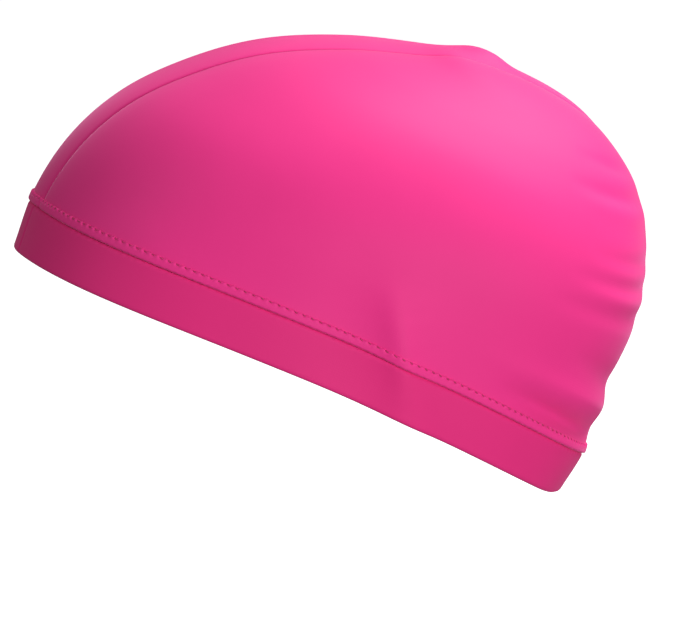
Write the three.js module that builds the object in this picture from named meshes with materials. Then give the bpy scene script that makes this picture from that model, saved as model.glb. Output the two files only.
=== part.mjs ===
// A stretch-fabric swim cap in the shape that a head gives it: two crown panels that meet in a seam from
// the forehead over the top to the nape, sewn to a headband of folded cloth.
// Millimetres and degrees. The cap is drawn in the frame of its rim (x from forehead to nape, y to the
// wearer's right, z square to the rim) and then tilted, with the forehead higher than the nape.
import * as THREE from "three";
import { mergeVertices } from "three/addons/utils/BufferGeometryUtils.js";

// Overall sizes
const CAP_LENGTH = 197;
const CAP_WIDTH = 154;
const CAP_HEIGHT = 118.5;
const RIM_TILT = 26.2;

// Cloth
const CROWN_WALL = 1.2;
const BAND_WALL = 2.2;
const BAND_HEIGHT = 16;
const SEAM_GAP = 0.3;

// The crown's lower edge is turned over its seam allowance and stitched down as a raised welt.
const WELT_HEIGHT = 3.2;
const WELT_PROUD = 0.7;

// The crown seam lies in a shallow dip. Towards the top of the crown it is to the wearer's left of the
// middle, as if the cloth were turned about a line LEAN_CENTRE_HEIGHT above the rim.
const SEAM_DIP = 0.9;
const SEAM_DIP_SPREAD = 6;
const SEAM_LEAN = 9;
const LEAN_CENTRE_HEIGHT = 42;

// The rim passes higher over the ears than over forehead and nape.
const EAR_ARCH = 5;
const ARCH_FADE_HEIGHT = 80;

// How the level sections depart from an ellipse: narrower in front, and squarer.
const EGG = 0.08;
const SQUARE = 0.02;

// Folds of the cloth. The crown seam holds the cloth down over SEAM_HOLD on each side of it.
const FOLD_DEPTH = 3;
const FOLD_WIDTH = 10;
const SEAM_HOLD = 5;

// Level sections from the rim to the crown top. The height of a section is CAP_HEIGHT times the sine of
// its rise. front and back are shares of CAP_LENGTH, from the forehead, and half_width is a share of
// half of CAP_WIDTH.
const RISE_STEP = 10;
const SECTIONS = [
  { rise: 0, front: 0.008, back: 0.988, half_width: 0.965 },
  { rise: 10, front: 0.0, back: 1.0, half_width: 0.985 },
  { rise: 20, front: 0.019, back: 0.984, half_width: 1.0 },
  { rise: 30, front: 0.066, back: 0.981, half_width: 0.985 },
  { rise: 40, front: 0.141, back: 0.964, half_width: 0.92 },
  { rise: 50, front: 0.231, back: 0.93, half_width: 0.795 },
  { rise: 60, front: 0.344, back: 0.886, half_width: 0.62 },
  { rise: 70, front: 0.462, back: 0.822, half_width: 0.42 },
  { rise: 80, front: 0.532, back: 0.75, half_width: 0.21 },
  { rise: 90, front: 0.648, back: 0.648, half_width: 0 },
];

// A fold runs over the wall between two places, each given by the degrees round from the forehead and
// the rise, and dies out towards the second. depth is a share of FOLD_DEPTH, outwards if positive, and
// width a share of FOLD_WIDTH. side is the wearer's.
const FOLDS = [
  { name: "ear ridge", side: "both", from: [99, 0], to: [86, 21], depth: 0.8, width: 1.0 },
  { name: "ear hollow", side: "both", from: [84, 6], to: [78, 20], depth: -0.4, width: 1.4 },
  { name: "nape tuck", side: "left", from: [176, 11.5], to: [112, 12.5], depth: -0.65, width: 0.55 },
  { name: "nape roll", side: "left", from: [176, 15], to: [112, 16], depth: 0.3, width: 0.6 },
  { name: "nape tuck", side: "right", from: [176, 11.5], to: [128, 13.5], depth: -0.7, width: 0.55 },
  { name: "crown pucker", side: "right", from: [44, 83], to: [72, 74], depth: 0.8, width: 0.7 },
];

// The welt in steps up from its lower edge, as shares of WELT_HEIGHT and WELT_PROUD.
const WELT_STEPS = [
  { up: 0, proud: 0.4 },
  { up: 0.25, proud: 1 },
  { up: 0.75, proud: 1 },
  { up: 1, proud: 0 },
];

// Mesh steps. The columns lie closer together towards the nape, by COLUMN_BIAS.
const COLUMNS = 42;
const COLUMN_BIAS = 0.35;
const CROWN_ROWS = 25;
const BAND_ROWS = 3;
const EDGE_STEPS = 3;
const FOLD_STEPS = 8;

const CLOTH_PINK = "#e8408f";

const radians = THREE.MathUtils.degToRad;
const heightAt = (rise) => CAP_HEIGHT * Math.sin(radians(rise));
const riseAt = (height) => THREE.MathUtils.radToDeg(Math.asin(Math.min(height / CAP_HEIGHT, 1)));

// A smooth curve through b and c, with their neighbours a and d.
function through(a, b, c, d, t) {
  const slopeB = (c - a) / 2;
  const slopeC = (d - b) / 2;
  const bend = 2 * (b - c) + slopeB + slopeC;
  return b + slopeB * t + (3 * (c - b) - 2 * slopeB - slopeC) * t ** 2 + bend * t ** 3;
}

// One column of the section table at any rise. Past the top, each section is the mirror image of the
// one before it, which keeps the crown top smooth.
function sectionValue(rise, column) {
  const last = SECTIONS.length - 1;
  const mirror = { front: "back", back: "front", half_width: "half_width" };
  const at = (i) => {
    if (i < 0) return 2 * SECTIONS[0][column] - SECTIONS[1][column];
    if (i <= last) return SECTIONS[i][column];
    return SECTIONS[2 * last - i][mirror[column]] * (column === "half_width" ? -1 : 1);
  };
  const place = THREE.MathUtils.clamp(rise / RISE_STEP, 0, last);
  const i = Math.min(Math.floor(place), last - 1);
  return through(at(i - 1), at(i), at(i + 1), at(i + 2), place - i);
}

// The wall without folds. around is the degrees round from the forehead, 0 to 180 on each side of the
// seam, and side is -1 for the wearer's left and 1 for the right.
function smoothPoint(around, rise, side) {
  const t = radians(around);
  const front = (sectionValue(rise, "front") - 0.5) * CAP_LENGTH;
  const back = (sectionValue(rise, "back") - 0.5) * CAP_LENGTH;
  const halfWidth = (sectionValue(rise, "half_width") * CAP_WIDTH) / 2;
  const lengthwise = (Math.cos(t) - SQUARE * Math.cos(3 * t)) / (1 - SQUARE);
  const crosswise = (Math.sin(t) + SQUARE * Math.sin(3 * t)) / (1 - SQUARE);
  const x = (front + back) / 2 - ((back - front) / 2) * lengthwise;
  const y = side * halfWidth * crosswise * (1 - EGG * Math.cos(t));
  const fade = THREE.MathUtils.smoothstep(heightAt(rise), BAND_HEIGHT, ARCH_FADE_HEIGHT);
  const z = heightAt(rise) + EAR_ARCH * Math.sin(t) ** 3 * (1 - fade);
  return new THREE.Vector3(x, y, z);
}

// The outward direction of the wall without folds, which at the crown top is straight up.
function outward(around, rise, side) {
  if (rise >= 90) return new THREE.Vector3(0, 0, 1);
  const step = 0.05;
  const t = THREE.MathUtils.clamp(around, step, 180 - step);
  const r = THREE.MathUtils.clamp(rise, step, 90 - 2 * step);
  const ahead = smoothPoint(t + step, r, side).sub(smoothPoint(t - step, r, side));
  const up = smoothPoint(t, r + step, side).sub(smoothPoint(t, r - step, side));
  return ahead.cross(up).multiplyScalar(-side).normalize();
}

// The line of a fold over the wall, as short straight pieces.
function foldLine(fold, side) {
  const point = (share) => {
    const around = THREE.MathUtils.lerp(fold.from[0], fold.to[0], share);
    const rise = THREE.MathUtils.lerp(fold.from[1], fold.to[1], share);
    return smoothPoint(around, rise, side);
  };
  return Array.from(
    { length: FOLD_STEPS },
    (_, i) => new THREE.Line3(point(i / FOLD_STEPS), point((i + 1) / FOLD_STEPS)),
  );
}

function foldsOfSide(side) {
  const name = side < 0 ? "left" : "right";
  return FOLDS.filter((fold) => fold.side === "both" || fold.side === name).map((fold) => ({
    depth: fold.depth * FOLD_DEPTH,
    width: fold.width * FOLD_WIDTH,
    line: foldLine(fold, side),
  }));
}

const FOLD_LINES = { [-1]: foldsOfSide(-1), [1]: foldsOfSide(1) };

// How far one fold moves the cloth outwards at a place.
function foldLift(fold, place) {
  const nearest = new THREE.Vector3();
  let lift = 0;
  fold.line.forEach((piece, i) => {
    const along = piece.closestPointToPointParameter(place, true);
    const distance = place.distanceTo(piece.at(along, nearest));
    const share = (i + along) / FOLD_STEPS;
    const here = fold.depth * (1 - share ** 2) * Math.exp(-((distance / fold.width) ** 2));
    if (Math.abs(here) > Math.abs(lift)) lift = here;
  });
  return lift;
}

// A point of the cloth, proud millimetres outside its face. The folds move it, but not near the seam.
function clothPoint(around, rise, side, proud) {
  const place = smoothPoint(around, rise, side);
  const free = 1 - Math.exp(-((place.y / SEAM_HOLD) ** 2));
  const lift = FOLD_LINES[side].reduce((sum, fold) => sum + foldLift(fold, place), 0);
  return place.addScaledVector(outward(around, rise, side), proud + free * lift);
}

// The turn of the cloth that takes the seam to the left, for both panels alike.
function lean(point, rise) {
  const pivot = new THREE.Vector3(0, 0, LEAN_CENTRE_HEIGHT);
  const angle = radians(SEAM_LEAN) * Math.sin(radians(rise)) ** 2;
  return point.sub(pivot).applyAxisAngle(new THREE.Vector3(1, 0, 0), angle).add(pivot);
}

// A point of a crown panel, which dips towards the seam and keeps half of the gap from it.
function crownPoint(around, rise, side, proud) {
  const fromSeam = Math.abs(smoothPoint(around, rise, side).y);
  const point = clothPoint(around, rise, side, proud - SEAM_DIP * Math.exp(-fromSeam / SEAM_DIP_SPREAD));
  const onSeam = around === 0 || around === 180;
  point.y = side * (onSeam ? SEAM_GAP / 2 : Math.max(side * point.y, SEAM_GAP / 2));
  return lean(point, rise);
}

function columnAngles() {
  return Array.from({ length: COLUMNS + 1 }, (_, i) => {
    const share = i / COLUMNS;
    return 180 * share * (1 + COLUMN_BIAS * (1 - share));
  });
}

// A closed body from loops of points: neighbouring loops are joined, and the first and last either meet
// or are each closed by a lid between the two halves of the loop.
function bodyFromLoops(loops, ring) {
  const count = loops[0].length;
  const index = (j, k) => (j % loops.length) * count + (k % count);
  const faces = [];
  const quad = (a, b, c, d) => faces.push([a, b, c], [a, c, d]);
  const joins = ring ? loops.length : loops.length - 1;
  for (let j = 0; j < joins; j += 1) {
    for (let k = 0; k < count; k += 1) {
      quad(index(j, k), index(j, k + 1), index(j + 1, k + 1), index(j + 1, k));
    }
  }
  const lids = ring ? 0 : count / 2 - 1;
  const top = loops.length - 1;
  for (let k = 0; k < lids; k += 1) {
    const far = count - 1 - k;
    quad(index(0, k + 1), index(0, k), index(0, far), index(0, far - 1));
    quad(index(top, k), index(top, k + 1), index(top, far - 1), index(top, far));
  }
  return closedGeometry(loops.flat(), faces);
}

// Points that fall together are merged, faces without area go, and the faces are turned to point out.
function closedGeometry(points, faces) {
  const loose = new THREE.BufferGeometry();
  loose.setAttribute("position", new THREE.Float32BufferAttribute(points.flatMap((p) => p.toArray()), 3));
  loose.setIndex(faces.flat());
  const geometry = mergeVertices(loose);
  const position = geometry.getAttribute("position");
  const corner = (i) => new THREE.Vector3().fromBufferAttribute(position, i);
  const merged = geometry.getIndex().array;
  const kept = [];
  let volume = 0;
  for (let i = 0; i < merged.length; i += 3) {
    const [a, b, c] = merged.slice(i, i + 3);
    if (a === b || b === c || c === a) continue;
    kept.push([a, b, c]);
    volume += corner(a).dot(corner(b).cross(corner(c)));
  }
  geometry.setIndex(kept.flatMap(([a, b, c]) => (volume > 0 ? [a, b, c] : [a, c, b])));
  geometry.computeVertexNormals();
  return geometry;
}

function clothMesh(name, geometry) {
  const material = new THREE.MeshStandardMaterial({ color: CLOTH_PINK, roughness: 0.75, metalness: 0 });
  const mesh = new THREE.Mesh(geometry, material);
  mesh.name = name;
  return mesh;
}

// The rows of a crown panel from its foot to the top: the welt's steps, and then even steps of rise.
function crownRows() {
  const foot = BAND_HEIGHT + SEAM_GAP;
  const welt = WELT_STEPS.map((step) => ({
    rise: riseAt(foot + step.up * WELT_HEIGHT),
    proud: step.proud * WELT_PROUD,
  }));
  const start = riseAt(foot + WELT_HEIGHT);
  const upper = Array.from({ length: CROWN_ROWS }, (_, i) => ({
    rise: THREE.MathUtils.lerp(start, 90, (i + 1) / CROWN_ROWS),
    proud: 0,
  }));
  return [...welt, ...upper];
}

function crownPanel(name, side) {
  const angles = columnAngles();
  const loops = crownRows().map((row) => [
    ...angles.map((around) => crownPoint(around, row.rise, side, row.proud)),
    ...angles.toReversed().map((around) => crownPoint(around, row.rise, side, -CROWN_WALL)),
  ]);
  return clothMesh(name, bodyFromLoops(loops, false));
}

// The headband's cross section: a strip with round edges, as heights above the rim and depths below the
// outer face.
function bandSection() {
  const round = BAND_WALL / 2;
  const straight = BAND_HEIGHT - 2 * round;
  const edge = Array.from({ length: EDGE_STEPS - 1 }, (_, i) => (Math.PI * (i + 1)) / EDGE_STEPS);
  const face = Array.from({ length: BAND_ROWS + 1 }, (_, i) => round + (straight * i) / BAND_ROWS);
  return [
    ...face.map((height) => ({ height, depth: 0 })),
    ...edge.map((turn) => ({
      height: BAND_HEIGHT - round + round * Math.sin(turn),
      depth: round - round * Math.cos(turn),
    })),
    ...face.toReversed().map((height) => ({ height, depth: BAND_WALL })),
    ...edge.map((turn) => ({
      height: round - round * Math.sin(turn),
      depth: round + round * Math.cos(turn),
    })),
  ];
}

function headband() {
  const section = bandSection();
  const column = (around, side) =>
    section.map(({ height, depth }) => {
      const rise = riseAt(height);
      return lean(clothPoint(around, rise, side, -depth), rise);
    });
  const angles = columnAngles();
  const loops = [
    ...angles.map((around) => column(around, -1)),
    ...angles.slice(1, -1).toReversed().map((around) => column(around, 1)),
  ];
  return clothMesh("headband", bodyFromLoops(loops, true));
}

const cap = new THREE.Group();
cap.add(crownPanel("crown_left", -1), crownPanel("crown_right", 1), headband());
cap.rotation.y = radians(RIM_TILT);

export default cap;
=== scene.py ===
# Looks of a stretch-fabric swim cap, in the shape that a head gives it.
# The shape functions work in millimetres and degrees in the rim's frame: x from forehead to nape, y to the
# wearer's right, z square to the rim. to_row_frame then tilts the cap and turns millimetres into metres.
import math

import bmesh
import bpy
import numpy as np
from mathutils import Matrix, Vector


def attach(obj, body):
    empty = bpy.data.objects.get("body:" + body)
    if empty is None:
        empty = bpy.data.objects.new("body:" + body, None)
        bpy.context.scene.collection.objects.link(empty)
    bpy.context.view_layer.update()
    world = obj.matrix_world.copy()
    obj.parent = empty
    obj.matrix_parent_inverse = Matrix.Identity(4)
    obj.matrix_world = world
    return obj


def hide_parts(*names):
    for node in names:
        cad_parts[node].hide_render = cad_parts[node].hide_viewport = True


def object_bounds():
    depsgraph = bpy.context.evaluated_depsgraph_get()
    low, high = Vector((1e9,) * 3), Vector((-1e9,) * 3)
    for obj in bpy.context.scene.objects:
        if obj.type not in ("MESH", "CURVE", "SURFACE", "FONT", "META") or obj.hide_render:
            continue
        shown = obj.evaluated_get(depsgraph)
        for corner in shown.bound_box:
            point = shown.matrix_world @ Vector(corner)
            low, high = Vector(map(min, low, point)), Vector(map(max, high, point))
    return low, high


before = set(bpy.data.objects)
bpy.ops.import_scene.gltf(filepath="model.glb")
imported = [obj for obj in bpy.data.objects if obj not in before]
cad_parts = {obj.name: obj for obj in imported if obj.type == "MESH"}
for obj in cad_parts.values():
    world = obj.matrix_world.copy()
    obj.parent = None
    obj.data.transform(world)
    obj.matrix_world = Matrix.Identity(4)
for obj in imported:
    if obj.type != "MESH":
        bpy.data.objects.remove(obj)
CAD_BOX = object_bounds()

MM = 0.001
LEFT, RIGHT = -1, 1

# Overall sizes of the cap, as in its solids
CAP_LENGTH = 197
CAP_WIDTH = 154
CAP_HEIGHT = 118.5
RIM_TILT = 26.2
CROWN_WALL = 1.2
BAND_WALL = 2.2
BAND_HEIGHT = 16
WELT_HEIGHT = 3.2
WELT_PROUD = 0.7

# The cloth arches up over each ear by EAR_ARCH, which fades out towards ARCH_FADE_HEIGHT. EGG makes the
# back wider than the front, and SQUARE fills the corners out.
EAR_ARCH = 5
ARCH_FADE_HEIGHT = 80
EGG = 0.08
SQUARE = 0.02

# The folds' shares are of FOLD_DEPTH and FOLD_WIDTH. Within about SEAM_HOLD of the seam they flatten out.
FOLD_DEPTH = 3
FOLD_WIDTH = 10
SEAM_HOLD = 5

# The centre seam: a shallow dip with a crease at its bottom. It leans to the wearer's left at the top.
SEAM_DIP = 0.9
SEAM_DIP_SPREAD = 6
SEAM_CREASE = 0.15
SEAM_CREASE_WIDTH = 0.5
SEAM_LEAN = 9
LEAN_CENTRE_HEIGHT = 42

# Behind the crown top the seam pulls the cloth into a short tuck around TUCK_RISE, which deepens over the
# degrees round in TUCK_BEHIND.
TUCK_DEPTH = 0.9
TUCK_WIDTH = 0.9
TUCK_RISE = 81
TUCK_SPREAD = 5
TUCK_BEHIND = (70, 110)

# Between the pieces of the finished cap there is only a hair's breadth.
HAIR_GAP = 0.05

# Level sections. The height of a section is CAP_HEIGHT times the sine of its rise, front and back are
# shares of CAP_LENGTH and half_width is a share of half of CAP_WIDTH.
RISE_STEP = 10
SECTION_COLUMNS = ("rise", "front", "back", "half_width")
SECTIONS = np.array([
    (0, 0.008, 0.988, 0.965),
    (10, 0.0, 1.0, 0.985),
    (20, 0.019, 0.984, 1.0),
    (30, 0.066, 0.981, 0.985),
    (40, 0.141, 0.964, 0.92),
    (50, 0.231, 0.93, 0.795),
    (60, 0.344, 0.886, 0.62),
    (70, 0.462, 0.822, 0.42),
    (80, 0.532, 0.75, 0.21),
    (90, 0.648, 0.648, 0.0),
])

# Folds run over the cloth between two places, each given by the degrees round from the forehead and the
# rise. depth is a share of FOLD_DEPTH, outwards if positive, and width a share of FOLD_WIDTH. A fold that
# fades "out" is deepest where it starts, and one that fades "both" is deepest in its middle.
FOLD_COLUMNS = ("side", "from_around", "from_rise", "to_around", "to_rise", "depth", "width", "fades")
MAIN_FOLDS = [
    ("both", 99, 0, 86, 21, 0.8, 1.0, "out"),
    ("both", 84, 6, 78, 20, -0.4, 1.4, "out"),
    ("left", 176, 11.5, 112, 12.5, -0.65, 0.55, "both"),
    ("left", 176, 15, 112, 16, 0.3, 0.6, "both"),
    ("right", 176, 11.5, 128, 13.5, -0.7, 0.55, "both"),
    ("right", 44, 83, 72, 74, 0.8, 0.7, "out"),
]

# Gathers towards the nape's seam, on each side of it. They fade out before the seam.
GATHERS = [
    ("left", 164, 65, 108, 66.5, -0.2, 0.34, "both"),
    ("left", 168, 58.5, 106, 58, -0.3, 0.34, "both"),
    ("left", 166, 54, 112, 54.5, 0.12, 0.36, "both"),
    ("left", 168, 44.5, 118, 43.5, -0.22, 0.34, "both"),
    ("left", 168, 39.5, 114, 38, -0.28, 0.32, "both"),
    ("left", 166, 36.5, 118, 35.5, 0.14, 0.3, "both"),
    ("left", 168, 33.5, 112, 31.5, -0.24, 0.32, "both"),
    ("left", 168, 19, 126, 23, -0.32, 0.4, "both"),
    ("right", 166, 64, 112, 62, -0.2, 0.36, "both"),
    ("right", 168, 57, 108, 56, -0.26, 0.34, "both"),
    ("right", 166, 53, 114, 52, 0.12, 0.36, "both"),
    ("right", 168, 47, 116, 46, -0.22, 0.34, "both"),
    ("right", 168, 40, 110, 39.5, -0.28, 0.34, "both"),
    ("right", 166, 36, 116, 35, 0.12, 0.32, "both"),
    ("right", 168, 32, 114, 31, -0.24, 0.34, "both"),
    ("right", 168, 18, 128, 22, -0.28, 0.4, "both"),
]

# Sharper creases inside the main folds: the ear ridge's front edge, and the nape tuck's bottom and
# upper edge
CREASES = [
    ("left", 97, 2, 85, 20, 0.42, 0.44, "both"),
    ("right", 97, 2, 85, 20, 0.3, 0.44, "both"),
    ("left", 162, 10.8, 110, 11.4, -0.8, 0.3, "both"),
    ("left", 160, 15.8, 104, 15.6, 0.24, 0.34, "both"),
    ("right", 162, 11, 120, 12, -0.6, 0.3, "both"),
]

# Wide, shallow swells of the cloth over the temples, behind the ears and just above the band
SWELLS = [
    ("both", 28, 14, 62, 38, 0.14, 2.4, "both"),
    ("both", 46, 20, 80, 46, -0.1, 2.0, "both"),
    ("both", 34, 9.5, 52, 10.5, 0.16, 0.6, "both"),
    ("both", 100, 24, 128, 34, 0.12, 2.2, "both"),
]

# Topstitching along the welt, at STITCH_LINE of its height. At each stitch the welt's two edges and the top
# of the band are drawn in by SCALLOP_DEPTH.
STITCH_PITCH = 2.8
STITCH_LENGTH = 1.9
STITCH_SLANT = 14
STITCH_LINE = 0.9
STITCH_DENT = 0.5
SCALLOP_DEPTH = 0.16

# A thread's middle lies THREAD_RISE above the bottom of its dent and its ends THREAD_DIVE lower, as shares
# of THREAD_RADIUS. Its ends are as thin as THREAD_END_SHARE of its section.
THREAD_RADIUS = 0.23
THREAD_RISE = 0.45
THREAD_DIVE = 1.8
THREAD_END_SHARE = 0.02

# Shares of the welt's height: how far up its foot is round, how far from the stitch line a stitch holds it
# down, where its top edge starts to be drawn in and how far up its foot is
WELT_FOOT_ROUND = 0.25
STITCH_HOLD = 0.16
TOP_SCALLOP_FROM = 0.6
FOOT_SCALLOP_TO = 0.35

# The welt's edges lie WELT_SINK under the panel's face, and its root WELT_ROOT under it.
WELT_SINK = 0.02
WELT_ROOT = 0.35

# Heights below the band's top where it starts to be drawn in at the stitches, and where it fully is
BAND_SCALLOP_START = 1.4
BAND_SCALLOP_FULL = 0.4

# The band's join in front, on the wearer's right of the seam
JOIN_AROUND = 3.5
JOIN_DEPTH = 0.5
JOIN_WIDTH = 0.8

# Towards the nape the rim rises, which rounds its lower corner.
NAPE_LIFT = 3.2
NAPE_LIFT_FROM = 140
NAPE_LIFT_TO = 172

# Mesh steps. COLUMN_BIAS draws columns together towards the nape, NORMAL_STEP is in degrees and
# MERGE_DISTANCE in metres.
PANEL_COLUMNS = 200
PANEL_ROWS = 120
WELT_COLUMNS = 1000
WELT_ROWS = 14
BAND_COLUMNS = 560
BAND_ROWS = 20
EDGE_STEPS = 6
FOLD_STEPS = 8
COLUMN_BIAS = 0.35
NORMAL_STEP = 0.05
LENGTH_STEPS = 720
MERGE_DISTANCE = 1e-7
THREAD_SIDES = 8
THREAD_RINGS = 7

# The photograph, in degrees and metres: the camera stands to the wearer's left and in front, a little above
# the cap. The sensor is in millimetres.
PHOTO_AZIMUTH = -17.5
PHOTO_ELEVATION = 12
CAMERA_DISTANCE = 2.0
CAMERA_AIM = Vector((0.0208, -0.0030, 0.0158))
PHOTO_WIDTH_AT_CAP = 0.224
SENSOR_WIDTH = 36

# The floor: how far it lies below the cap and its side, in metres, and its finish
FLOOR_DROP = 0.3
FLOOR_SIZE = 14
FLOOR_COLOUR = (0.9, 0.9, 0.9, 1)
FLOOR_ROUGHNESS = 0.9
FLOOR_GLOW = 0.8
FLOOR_GLOW_COLOUR = (1, 1, 1, 1)

# Studio lights: name, place and size in metres, and power in watts
LIGHT_AIM = (0.02, 0, 0.03)
LIGHT_COLOUR = (1.0, 0.95, 1.0)
LIGHTS = [
    ("key", (0.90, 0.25, 1.20), 0.8, 29),
    ("front", (0.40, -1.45, 0.02), 0.8, 17.5),
    ("left", (-1.0, -0.3, 0.8), 0.7, 3.2),
]
SKY_COLOUR = (1.0, 0.99, 0.995, 1)
SKY_STRENGTH = 0.2

# The two cloths: material name, colour, roughness and sheen
CROWN_KNIT = ("crown_knit", (0.82, 0.038, 0.245), 0.55, 0.24)
# The band's colour is the crown's knit made darker: painted shade.
BAND_KNIT_PAINTED_SHADE = ("band_knit_painted_shade", (0.75, 0.03, 0.2), 0.6, 0.18)

# What both cloths share. The dye varies between two shares of the colour.
SPECULAR = 0.12
SHEEN_ROUGHNESS = 0.35
SHEEN_TINT = (1.0, 0.62, 0.9, 1)
DYE_SHARES = (0.95, 1.04)
DYE_SCALE = 28
DYE_DETAIL = 4

# The knit's loops, with their pitch and depth in metres
KNIT_PITCH = 0.8 * MM
KNIT_DEPTH = 0.03 * MM
KNIT_STRENGTH = 0.25
KNIT_DISTORTION = 0.6
KNIT_DETAIL = 1

# A wave texture turns by this many radians over one unit of its scaled coordinate.
WAVE_RATE = 20

# The thread, whose colour varies between two tones. Both tones are darker than the cloth: painted shade of
# the dents the thread lies in.
THREAD_TONES_PAINTED_SHADE = ((0.4, 0.012, 0.095), (0.54, 0.02, 0.13))
THREAD_ROUGHNESS = 0.55
TWIST_SCALE = 900
TWIST_DETAIL = 2


def through(a, b, c, d, t):
    """A smooth curve through b and c, with their neighbours a and d."""
    slope_b = (c - a) / 2
    slope_c = (d - b) / 2
    bend = 2 * (b - c) + slope_b + slope_c
    return b + slope_b * t + (3 * (c - b) - 2 * slope_b - slope_c) * t**2 + bend * t**3


def smoothstep(value, low, high):
    share = np.clip((value - low) / (high - low), 0, 1)
    return share * share * (3 - 2 * share)


def bell(distance, spread):
    """1 at no distance, fading to nothing a few spreads away."""
    return np.exp(-((distance / spread) ** 2))


def height_at(rise):
    return CAP_HEIGHT * np.sin(np.radians(rise))


def rise_at(height):
    return np.degrees(np.arcsin(np.minimum(np.asarray(height) / CAP_HEIGHT, 1)))


def section_value(rise, column):
    """One column of the section table at any rise. Past the top they go on as mirror images."""
    mirror = {"front": "back", "back": "front", "half_width": "half_width"}[column]
    sign = -1 if column == "half_width" else 1
    own = SECTIONS[:, SECTION_COLUMNS.index(column)]
    past_top = sign * SECTIONS[-2, SECTION_COLUMNS.index(mirror)]
    knots = np.concatenate([[2 * own[0] - own[1]], own, [past_top]])
    place = np.clip(np.asarray(rise, float) / RISE_STEP, 0, len(own) - 1)
    i = np.minimum(np.floor(place).astype(int), len(own) - 2)
    return through(knots[i], knots[i + 1], knots[i + 2], knots[i + 3], place - i)


def smooth_point(around, rise, side):
    """The wall without folds, around degrees round from the forehead on one side of the seam."""
    t = np.radians(around)
    front = (section_value(rise, "front") - 0.5) * CAP_LENGTH
    back = (section_value(rise, "back") - 0.5) * CAP_LENGTH
    half_width = section_value(rise, "half_width") * CAP_WIDTH / 2
    lengthwise = (np.cos(t) - SQUARE * np.cos(3 * t)) / (1 - SQUARE)
    crosswise = (np.sin(t) + SQUARE * np.sin(3 * t)) / (1 - SQUARE)
    x = (front + back) / 2 - (back - front) / 2 * lengthwise
    y = side * half_width * crosswise * (1 - EGG * np.cos(t))
    fade = smoothstep(height_at(rise), BAND_HEIGHT, ARCH_FADE_HEIGHT)
    z = height_at(rise) + EAR_ARCH * np.sin(t) ** 3 * (1 - fade)
    return np.stack(np.broadcast_arrays(x, y, z), axis=-1)


def outward(around, rise, side):
    """The outward direction of the wall without folds, which at the crown top is straight up."""
    t = np.clip(around, NORMAL_STEP, 180 - NORMAL_STEP)
    r = np.clip(rise, NORMAL_STEP, 90 - 2 * NORMAL_STEP)
    ahead = smooth_point(t + NORMAL_STEP, r, side) - smooth_point(t - NORMAL_STEP, r, side)
    up = smooth_point(t, r + NORMAL_STEP, side) - smooth_point(t, r - NORMAL_STEP, side)
    normal = -side * np.cross(ahead, up)
    normal /= np.linalg.norm(normal, axis=-1, keepdims=True)
    return np.where((np.asarray(rise) >= 90)[..., None], (0.0, 0.0, 1.0), normal)


def fold_lift(fold, side, place):
    """How far one fold moves the cloth outwards at each place."""
    row = dict(zip(FOLD_COLUMNS, fold))
    around = np.linspace(row["from_around"], row["to_around"], FOLD_STEPS + 1)
    rise = np.linspace(row["from_rise"], row["to_rise"], FOLD_STEPS + 1)
    line = smooth_point(around, rise, side)
    lift = np.zeros(place.shape[:-1])
    for i in range(FOLD_STEPS):
        along = line[i + 1] - line[i]
        part = np.clip((place - line[i]) @ along / (along @ along), 0, 1)
        distance = np.linalg.norm(place - line[i] - part[..., None] * along, axis=-1)
        share = (i + part) / FOLD_STEPS
        strength = 1 - share**2 if row["fades"] == "out" else np.sin(np.pi * share)
        spread = row["width"] * FOLD_WIDTH
        here = row["depth"] * FOLD_DEPTH * strength * bell(distance, spread)
        lift = np.where(np.abs(here) > np.abs(lift), here, lift)
    return lift


def all_folds(side):
    name = "left" if side == LEFT else "right"
    return [fold for fold in MAIN_FOLDS + GATHERS + CREASES + SWELLS if fold[0] in ("both", name)]


def cloth_point(around, rise, side, proud):
    """A point of the cloth, proud millimetres outside its face. Folds move it, but not near the seam."""
    around, rise, proud = np.broadcast_arrays(*map(np.asarray, (around, rise, proud)))
    place = smooth_point(around, rise, side)
    free = 1 - bell(place[..., 1], SEAM_HOLD)
    lift = sum(fold_lift(fold, side, place) for fold in all_folds(side))
    return place + outward(around, rise, side) * (proud + free * lift)[..., None]


def lean(point, rise):
    """The turn of the cloth that takes the seam to the wearer's left at the top."""
    angle = np.radians(SEAM_LEAN) * np.sin(np.radians(rise)) ** 2
    y = point[..., 1]
    z = point[..., 2] - LEAN_CENTRE_HEIGHT
    turned = point.copy()
    turned[..., 1] = y * np.cos(angle) - z * np.sin(angle)
    turned[..., 2] = y * np.sin(angle) + z * np.cos(angle) + LEAN_CENTRE_HEIGHT
    return turned


def lean_direction(direction, rise):
    """The same turn of a direction, which has no place of its own."""
    centre = (0, 0, LEAN_CENTRE_HEIGHT)
    return lean(direction + centre, rise) - centre


def crown_point(around, rise, side, proud):
    """A point of a crown panel, which dips and creases towards the centre seam."""
    around, rise, proud = np.broadcast_arrays(*map(np.asarray, (around, rise, proud)))
    from_seam = np.abs(smooth_point(around, rise, side)[..., 1])
    dip = SEAM_DIP * np.exp(-from_seam / SEAM_DIP_SPREAD)
    dip = dip + SEAM_CREASE * bell(from_seam, SEAM_CREASE_WIDTH)
    tuck = TUCK_DEPTH * bell(rise - TUCK_RISE, TUCK_SPREAD) * smoothstep(around, *TUCK_BEHIND)
    dip = dip + tuck * bell(from_seam, TUCK_WIDTH)
    point = cloth_point(around, rise, side, proud - dip)
    on_seam = (around <= 0) | (around >= 180)
    apart = np.where(on_seam, HAIR_GAP / 2, np.maximum(side * point[..., 1], HAIR_GAP / 2))
    point[..., 1] = side * apart
    return lean(point, rise)


def column_angles(columns):
    """Degrees round from the forehead, closer together towards the nape."""
    share = np.linspace(0, 1, columns + 1)
    return 180 * share * (1 + COLUMN_BIAS * (1 - share))


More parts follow.
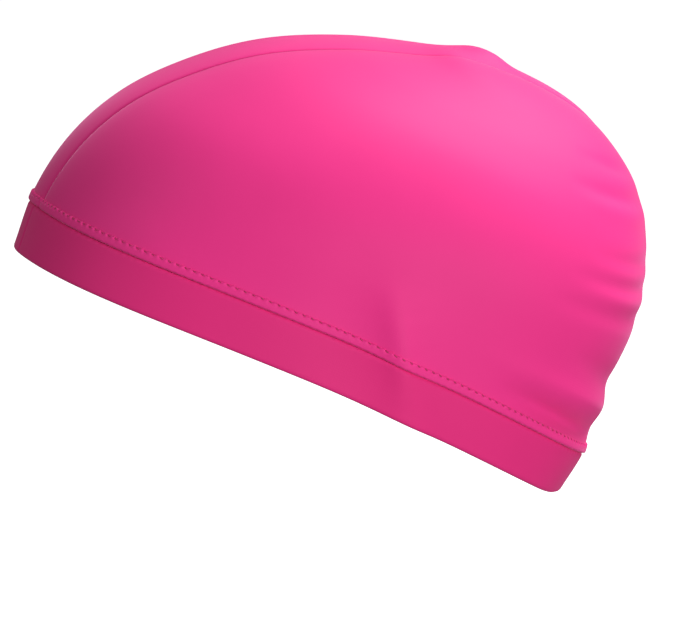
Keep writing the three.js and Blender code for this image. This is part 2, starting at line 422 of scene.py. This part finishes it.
def to_row_frame(points):
    """From the rim's frame in millimetres to the cap's own frame in metres, with the rim tilted."""
    tilt = math.radians(RIM_TILT)
    x, y, z = np.moveaxis(points.reshape(-1, 3) * MM, -1, 0)
    turned = (x * math.cos(tilt) + z * math.sin(tilt), y, z * math.cos(tilt) - x * math.sin(tilt))
    return np.stack(turned, axis=-1)


def grid_faces(rows, columns, rows_meet, columns_meet):
    """The four-sided faces of a grid of points, whose first and last rows or columns may meet."""
    j = np.arange(rows if rows_meet else rows - 1)[:, None]
    k = np.arange(columns if columns_meet else columns - 1)[None, :]
    next_j = (j + 1) % rows
    next_k = (k + 1) % columns
    corners = (j * columns + k, j * columns + next_k, next_j * columns + next_k, next_j * columns + k)
    return np.stack(np.broadcast_arrays(*corners), axis=-1).reshape(-1, 4)


def cloth_piece(name, points, faces, uv, material):
    """A mesh from points in the rim's frame, with its faces turned outwards and lengths of cloth as UV."""
    mesh = bpy.data.meshes.new(name)
    mesh.from_pydata(to_row_frame(points).tolist(), [], faces.tolist())
    layer = mesh.uv_layers.new(name="cloth")
    corner_point = np.empty(len(mesh.loops), int)
    mesh.loops.foreach_get("vertex_index", corner_point)
    layer.data.foreach_set("uv", (uv.reshape(-1, 2)[corner_point] * MM).astype(np.float32).ravel())
    piece = bpy.data.objects.new(name, mesh)
    bpy.context.scene.collection.objects.link(piece)
    turn_outwards(mesh)
    mesh.shade_smooth()
    mesh.materials.append(material)
    return piece


def turn_outwards(mesh):
    """Merges points that fall together, drops faces without area and turns the rest to point out."""
    body = bmesh.new()
    body.from_mesh(mesh)
    bmesh.ops.remove_doubles(body, verts=body.verts, dist=MERGE_DISTANCE)
    bmesh.ops.dissolve_degenerate(body, edges=body.edges, dist=MERGE_DISTANCE)
    bmesh.ops.recalc_face_normals(body, faces=body.faces)
    if body.calc_volume(signed=True) < 0:
        bmesh.ops.reverse_faces(body, faces=body.faces)
    body.to_mesh(mesh)
    body.free()


def cloth_uv(around, rise):
    """Lengths along the cloth in millimetres: round from the forehead, and up from the rim."""
    along, up = np.broadcast_arrays(np.radians(around) * CAP_LENGTH / 2, np.radians(rise) * CAP_HEIGHT)
    return np.stack([along, up], axis=-1)


def crown_panel(name, side, material):
    """One side of the crown, a shell from its foot behind the welt up to the crown top."""
    foot = rise_at(BAND_HEIGHT + HAIR_GAP)
    rise = np.linspace(foot, 90, PANEL_ROWS)[:, None]
    around = column_angles(PANEL_COLUMNS)[None, :]
    outer = crown_point(around, rise, side, 0)
    inner = crown_point(around, rise, side, -CROWN_WALL)
    points = np.concatenate([outer, inner[:, ::-1]], axis=1)
    uv = np.broadcast_to(cloth_uv(around, rise), outer.shape[:-1] + (2,))
    uv = np.concatenate([uv, uv[:, ::-1]], axis=1)
    rows, columns = points.shape[:2]
    faces = grid_faces(rows, columns, False, True)
    k = np.arange(columns // 2 - 1)
    lid = np.stack([k + 1, k, columns - 1 - k, columns - 2 - k], axis=-1)
    faces = np.concatenate([faces, lid, lid[:, ::-1] + (rows - 1) * columns])
    return cloth_piece(name, points, faces, uv, material)


def welt(name, side, material):
    """The turned-over lower edge of a panel: a strip that bulges between the stitches and dips at each."""
    around = np.linspace(0, 180, WELT_COLUMNS + 1)[None, :]
    up = np.linspace(0, 1, WELT_ROWS)[:, None]
    round_foot = np.sqrt(1 - (1 - np.minimum(up / WELT_FOOT_ROUND, 1)) ** 2)
    held = bell(up - STITCH_LINE, STITCH_HOLD)
    top = 1 - smoothstep(up, STITCH_LINE, 1)
    stitched = at_stitches(around, side)
    proud = WELT_PROUD * round_foot * top - STITCH_DENT * held * stitched * top - WELT_SINK
    height = BAND_HEIGHT + HAIR_GAP + up * WELT_HEIGHT
    height = height + SCALLOP_DEPTH * (1 - stitched) * smoothstep(up, TOP_SCALLOP_FROM, 1)
    height = height + SCALLOP_DEPTH * stitched * (1 - smoothstep(up, 0, FOOT_SCALLOP_TO))
    outer = crown_point(around, rise_at(height), side, proud)
    inner = crown_point(around, rise_at(height), side, -WELT_ROOT)
    points = np.concatenate([outer, inner[::-1]], axis=0)
    uv = cloth_uv(around, rise_at(height))
    uv = np.concatenate([uv, uv[::-1]], axis=0)
    rows, columns = points.shape[:2]
    faces = grid_faces(rows, columns, True, False)
    j = np.arange(rows // 2 - 1)
    lid = np.stack([j, j + 1, rows - 2 - j, rows - 1 - j], axis=-1) * columns
    faces = np.concatenate([faces, lid, lid[:, ::-1] + columns - 1])
    return cloth_piece(name, points, faces, uv, material)


def welt_length(around, side):
    """Length along the stitch line from the forehead, in millimetres, at each angle round."""
    fine = np.linspace(0, 180, LENGTH_STEPS + 1)
    line = smooth_point(fine, rise_at(BAND_HEIGHT + STITCH_LINE * WELT_HEIGHT), side)
    length = np.concatenate([[0], np.cumsum(np.linalg.norm(np.diff(line, axis=0), axis=-1))])
    return np.interp(around, fine, length)


def at_stitches(around, side):
    """1 at each stitch and 0 midway between two."""
    return 0.5 + 0.5 * np.cos(2 * np.pi * welt_length(around, side) / STITCH_PITCH)


def stitches(name, side, material):
    """Short pieces of thread, one in each dent along the stitch line."""
    fine = np.linspace(0, 180, LENGTH_STEPS + 1)
    length = welt_length(fine, side)
    count = int(length[-1] // STITCH_PITCH)
    centres = np.arange(1, count) * STITCH_PITCH
    along = np.linspace(-0.5, 0.5, THREAD_RINGS)
    slant = math.tan(math.radians(STITCH_SLANT))
    offset = along[None, :] * STITCH_LENGTH
    around = np.interp(centres[:, None] + offset, length, fine)
    height = BAND_HEIGHT + STITCH_LINE * WELT_HEIGHT - offset * slant
    from_middle = 2 * np.abs(along)
    proud = WELT_PROUD - STITCH_DENT + THREAD_RADIUS * (THREAD_RISE - THREAD_DIVE * from_middle**3)
    middle = crown_point(around, rise_at(height), side, proud)
    normal = lean_direction(outward(around, rise_at(height), side), rise_at(height))
    ahead = np.gradient(middle, axis=1)
    ahead /= np.linalg.norm(ahead, axis=-1, keepdims=True)
    across = np.cross(ahead, normal)
    thickness = THREAD_RADIUS * np.sqrt(np.maximum(1 - from_middle**4, THREAD_END_SHARE))
    turn = 2 * np.pi * np.arange(THREAD_SIDES) / THREAD_SIDES
    ring = across[:, :, None] * np.cos(turn)[:, None] + normal[:, :, None] * np.sin(turn)[:, None]
    points = middle[:, :, None] + ring * thickness[None, :, None, None]
    one = grid_faces(THREAD_RINGS, THREAD_SIDES, False, True)
    size = THREAD_RINGS * THREAD_SIDES
    faces = (one[None] + size * np.arange(count - 1)[:, None, None]).reshape(-1, 4)
    uv = np.zeros(points.shape[:-1] + (2,))
    piece = cloth_piece(name, points, faces, uv, material)
    close_ends(piece.data)
    return piece


def close_ends(mesh):
    """Closes the open ends of each thread."""
    body = bmesh.new()
    body.from_mesh(mesh)
    bmesh.ops.holes_fill(body, edges=[edge for edge in body.edges if edge.is_boundary], sides=THREAD_SIDES)
    bmesh.ops.recalc_face_normals(body, faces=body.faces)
    body.to_mesh(mesh)
    body.free()


def band_section():
    """The band's cross section, with round edges: heights above the rim and depths below its face."""
    round_edge = BAND_WALL / 2
    face = np.linspace(round_edge, BAND_HEIGHT - round_edge, BAND_ROWS)
    turn = np.pi * np.arange(1, EDGE_STEPS) / EDGE_STEPS
    top_height = BAND_HEIGHT - round_edge + round_edge * np.sin(turn)
    foot_height = round_edge - round_edge * np.sin(turn)
    height = np.concatenate([face, top_height, face[::-1], foot_height])
    depth = np.concatenate([
        np.zeros(BAND_ROWS),
        round_edge - round_edge * np.cos(turn),
        np.full(BAND_ROWS, BAND_WALL),
        round_edge + round_edge * np.cos(turn),
    ])
    return height, depth


def join_groove(around, side):
    """Depth of the groove where the band's two ends are sewn together."""
    from_join = np.radians(around - side * JOIN_AROUND) * CAP_LENGTH / 2
    return JOIN_DEPTH * bell(from_join, JOIN_WIDTH)


def headband(material):
    """The band of doubled cloth, a closed ring."""
    height, depth = band_section()
    angles = column_angles(BAND_COLUMNS)
    halves = []
    for side, around in ((LEFT, angles), (RIGHT, angles[1:-1][::-1])):
        around = around[:, None]
        lift = NAPE_LIFT * smoothstep(around, NAPE_LIFT_FROM, NAPE_LIFT_TO)
        rise = rise_at(height + lift * (1 - height / BAND_HEIGHT))
        outer_share = 1 - depth / BAND_WALL
        drawn_in = smoothstep(height, BAND_HEIGHT - BAND_SCALLOP_START, BAND_HEIGHT - BAND_SCALLOP_FULL)
        drawn_in = drawn_in * outer_share * at_stitches(around, side)
        proud = -depth - join_groove(around, side) * outer_share - SCALLOP_DEPTH * drawn_in
        point = lean(cloth_point(around, rise, side, proud), rise)
        halves.append((point, cloth_uv(around, rise)))
    points = np.concatenate([half[0] for half in halves])
    uv = np.concatenate([half[1] for half in halves])
    faces = grid_faces(points.shape[0], points.shape[1], True, True)
    return cloth_piece("headband_cloth", points, faces, uv, material)


# Materials

def new_material(name, roughness):
    """A material and its shader, with the roughness set."""
    material = bpy.data.materials.new(name)
    material.use_nodes = True
    shader = material.node_tree.nodes["Principled BSDF"]
    shader.inputs["Roughness"].default_value = roughness
    return material, shader


def mottle(material, shader, tones, scale, detail):
    """Lets the base colour vary unevenly between two tones."""
    nodes, links = material.node_tree.nodes, material.node_tree.links
    place = nodes.new("ShaderNodeTexCoord")
    noise = nodes.new("ShaderNodeTexNoise")
    noise.inputs["Scale"].default_value = scale
    noise.inputs["Detail"].default_value = detail
    links.new(place.outputs["Object"], noise.inputs["Vector"])
    mix = nodes.new("ShaderNodeMix")
    mix.data_type = "RGBA"
    for socket, tone in zip(("A", "B"), tones):
        mix.inputs[socket].default_value = (*tone, 1)
    links.new(noise.outputs["Fac"], mix.inputs["Factor"])
    links.new(mix.outputs["Result"], shader.inputs["Base Color"])


def knit_bump(material, shader):
    """Gives the surface the knit's columns and rows of loops."""
    nodes, links = material.node_tree.nodes, material.node_tree.links
    place = nodes.new("ShaderNodeTexCoord")
    loops = nodes.new("ShaderNodeMath")
    loops.operation = "MULTIPLY"
    for number, direction in enumerate(("X", "Y")):
        wave = nodes.new("ShaderNodeTexWave")
        wave.bands_direction = direction
        wave.inputs["Scale"].default_value = 2 * math.pi / (WAVE_RATE * KNIT_PITCH)
        wave.inputs["Distortion"].default_value = KNIT_DISTORTION
        wave.inputs["Detail"].default_value = KNIT_DETAIL
        links.new(place.outputs["UV"], wave.inputs["Vector"])
        links.new(wave.outputs["Fac"], loops.inputs[number])
    bump = nodes.new("ShaderNodeBump")
    bump.inputs["Strength"].default_value = KNIT_STRENGTH
    bump.inputs["Distance"].default_value = KNIT_DEPTH
    links.new(loops.outputs["Value"], bump.inputs["Height"])
    links.new(bump.outputs["Normal"], shader.inputs["Normal"])


def knit_material(name, colour, roughness, sheen):
    """Fine stretch knit: a soft sheen, loops in the bump, and a slight unevenness of the dye."""
    material, shader = new_material(name, roughness)
    shader.inputs["Specular IOR Level"].default_value = SPECULAR
    shader.inputs["Sheen Weight"].default_value = sheen
    shader.inputs["Sheen Roughness"].default_value = SHEEN_ROUGHNESS
    shader.inputs["Sheen Tint"].default_value = SHEEN_TINT
    tones = [[share * part for part in colour] for share in DYE_SHARES]
    mottle(material, shader, tones, DYE_SCALE, DYE_DETAIL)
    knit_bump(material, shader)
    return material


# The thread's pink is darkened as painted shade of the stitch dents, and its tone differs at random.
def thread_material_painted_shade():
    material, shader = new_material("thread", THREAD_ROUGHNESS)
    mottle(material, shader, THREAD_TONES_PAINTED_SHADE, TWIST_SCALE, TWIST_DETAIL)
    return material


def floor_material():
    """A pale floor that also shines a little by itself, as one that is lit from all sides does."""
    material, shader = new_material("pale_floor", FLOOR_ROUGHNESS)
    shader.inputs["Base Color"].default_value = FLOOR_COLOUR
    shader.inputs["Emission Color"].default_value = FLOOR_GLOW_COLOUR
    shader.inputs["Emission Strength"].default_value = FLOOR_GLOW
    return material


# Stage

def photo_direction():
    """The unit vector from the cap to the camera."""
    azimuth, elevation = math.radians(PHOTO_AZIMUTH), math.radians(PHOTO_ELEVATION)
    level = math.cos(elevation)
    return Vector((math.sin(azimuth) * level, -math.cos(azimuth) * level, math.sin(elevation)))


def make_camera():
    back = photo_direction()
    data = bpy.data.cameras.new("photo_camera")
    data.sensor_width = SENSOR_WIDTH
    data.lens = SENSOR_WIDTH * CAMERA_DISTANCE / PHOTO_WIDTH_AT_CAP
    camera = bpy.data.objects.new("photo_camera", data)
    camera.location = CAMERA_AIM + back * CAMERA_DISTANCE
    camera.rotation_mode = "QUATERNION"
    camera.rotation_quaternion = (-back).to_track_quat("-Z", "Y")
    bpy.context.scene.collection.objects.link(camera)
    bpy.context.scene.camera = camera


def area_light(name, place, size, power):
    data = bpy.data.lights.new(name, "AREA")
    data.shape = "SQUARE"
    data.size = size
    data.energy = power
    data.color = LIGHT_COLOUR
    light = bpy.data.objects.new(name, data)
    light.location = place
    light.rotation_mode = "QUATERNION"
    light.rotation_quaternion = (Vector(LIGHT_AIM) - Vector(place)).to_track_quat("-Z", "Y")
    bpy.context.scene.collection.objects.link(light)


def make_lights():
    """A high key on the photo's right, a light in front at the cap's height, and a weak one on the left."""
    for light in LIGHTS:
        area_light(*light)


def make_world():
    world = bpy.data.worlds.new("studio")
    world.use_nodes = True
    sky = world.node_tree.nodes["Background"]
    sky.inputs["Color"].default_value = SKY_COLOUR
    sky.inputs["Strength"].default_value = SKY_STRENGTH
    bpy.context.scene.world = world


def make_floor():
    lowest = CAD_BOX[0].z
    bpy.ops.mesh.primitive_plane_add(size=FLOOR_SIZE, location=(0, 0, lowest - FLOOR_DROP))
    floor = bpy.context.object
    floor.name = "floor"
    floor.data.materials.append(floor_material())
    floor.visible_diffuse = False
    floor.visible_glossy = False


def add_to_cap(piece):
    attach(piece, "root")


def build_cap():
    crown_cloth = knit_material(*CROWN_KNIT)
    # The band's knit is darker than the crown's as painted shade.
    band_cloth_painted_shade = knit_material(*BAND_KNIT_PAINTED_SHADE)
    thread = thread_material_painted_shade()
    for side, word in ((LEFT, "left"), (RIGHT, "right")):
        panel = crown_panel(f"crown_{word}_cloth", side, crown_cloth)
        edge = welt(f"welt_{word}", side, crown_cloth)
        sewing = stitches(f"stitches_{word}", side, thread)
        for piece in (panel, edge, sewing):
            add_to_cap(piece)
        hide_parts(f"crown_{word}")
    band = headband(band_cloth_painted_shade)
    add_to_cap(band)
    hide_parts("headband")


make_camera()
make_world()
make_lights()
make_floor()
build_cap()
bpy.context.scene.view_settings.view_transform = "Standard"
